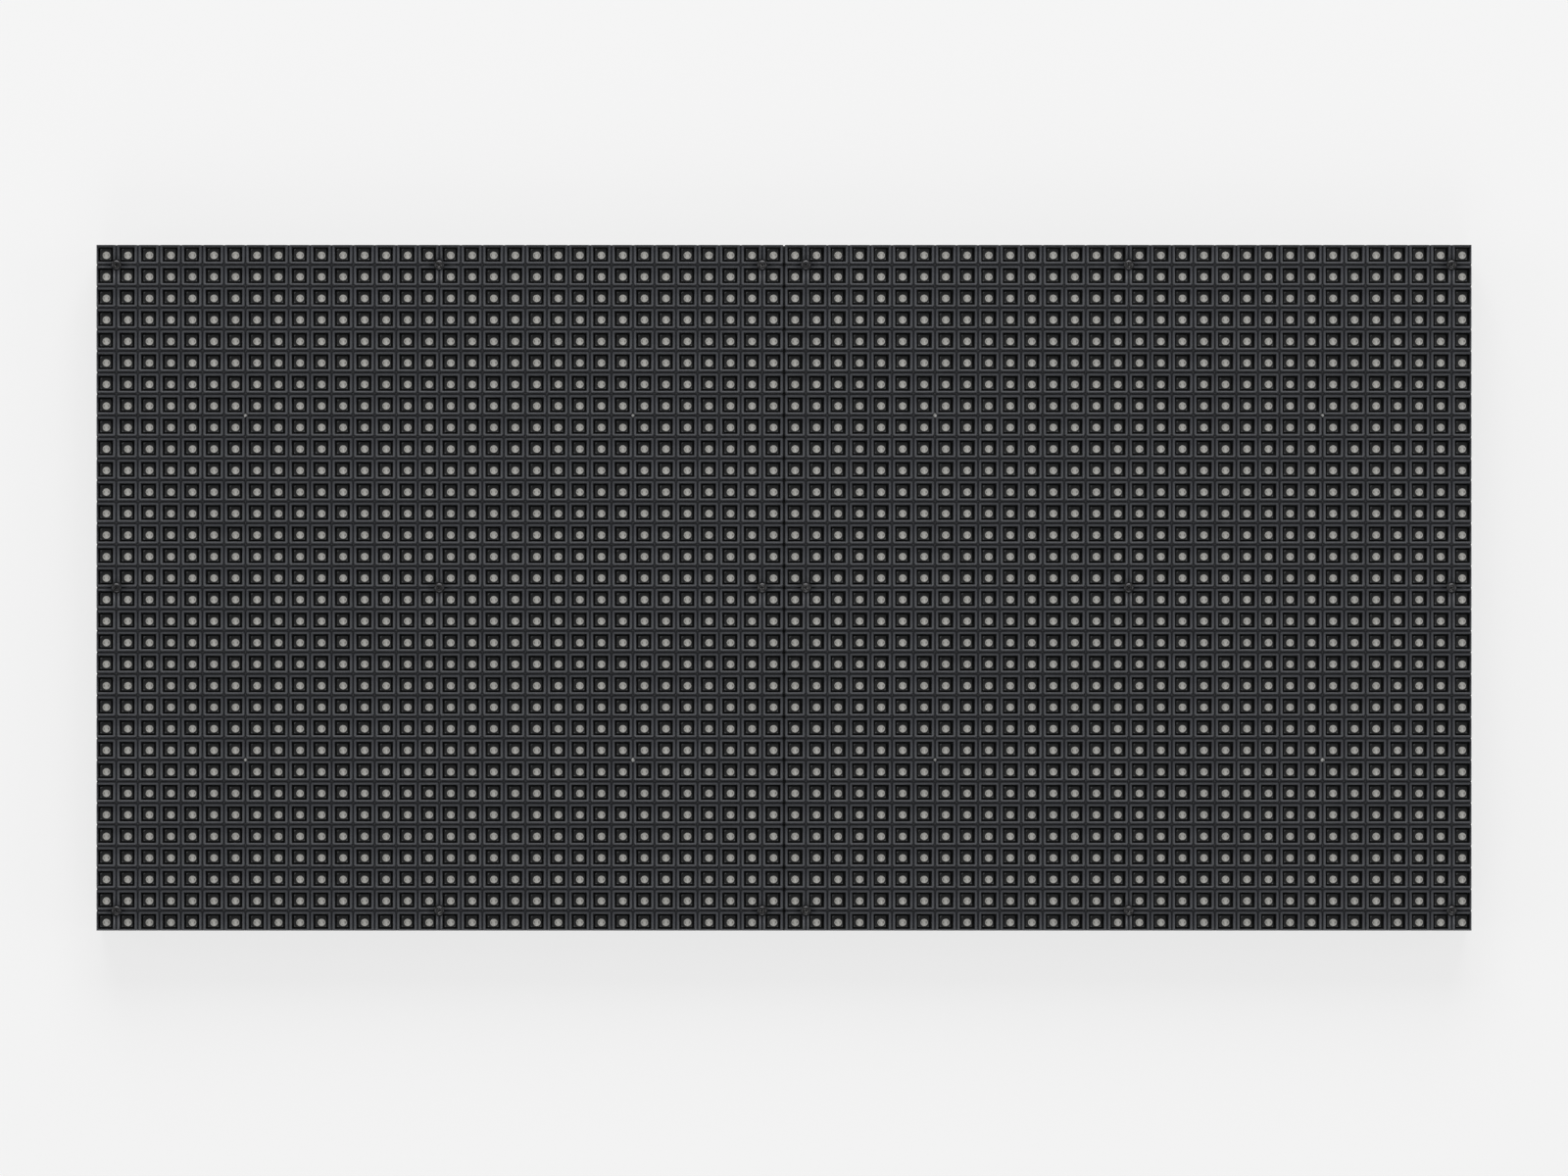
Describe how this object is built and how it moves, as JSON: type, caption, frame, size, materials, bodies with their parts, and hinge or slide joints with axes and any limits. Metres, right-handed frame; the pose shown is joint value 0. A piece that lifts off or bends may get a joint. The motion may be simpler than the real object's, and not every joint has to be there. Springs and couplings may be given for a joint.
{
  "type": "led matrix display module",
  "caption": "Full-colour LED matrix display module with black square-window masks over surface-mount LEDs, a driver board with headers and a moulded back frame",
  "frame": {"origin": "middle of the module's outline, on the plane of the frame's back edge", "axes": "+Z is the way the display shines, +X runs along the long side to the viewer's right, +Y is the display's up"},
  "size_m": [0.2554, 0.1274, 0.0146],
  "materials": {
    "mask_plastic": "fine grained black moulding",
    "screw_steel": "black oxide with bright worn edges",
    "led_lens": "clear epoxy over a pale reflector cup",
    "board": "matt black solder mask",
    "frame_plastic": "fine grained black moulding",
    "insert_brass": "turned and tapped",
    "header_plastic": "glass filled moulding",
    "pin_gold": "thin gold plate",
    "power_plastic": "natural nylon",
    "pin_tin": "bright tin plate",
    "chip_epoxy": "moulded epoxy",
    "capacitor_plastic": "black moulding",
    "can_aluminium": "drawn can",
    "resistor_ceramic": "glazed film over white ceramic",
    "capacitor_ceramic": "bare tan ceramic"
  },
  "bodies": {
    "root": {"mask_left": "mask_plastic", "mask_right": "mask_plastic", "mask_screws": "screw_steel", "leds_left": "led_lens", "leds_right": "led_lens", "circuit_board": "board", "back_frame": "frame_plastic", "threaded_inserts": "insert_brass", "signal_in_shell": "header_plastic", "signal_in_pins": "pin_gold", "signal_out_shell": "header_plastic", "signal_out_pins": "pin_gold", "power_base": "power_plastic", "power_pins_set": "pin_tin", "column_drivers": "chip_epoxy", "row_drivers": "chip_epoxy", "decoder_chips": "chip_epoxy", "buffer_chips": "chip_epoxy", "capacitor_bases": "capacitor_plastic", "capacitor_cans": "can_aluminium", "chip_resistors": "resistor_ceramic", "chip_capacitors": "capacitor_ceramic"}
  },
  "joints": []
}
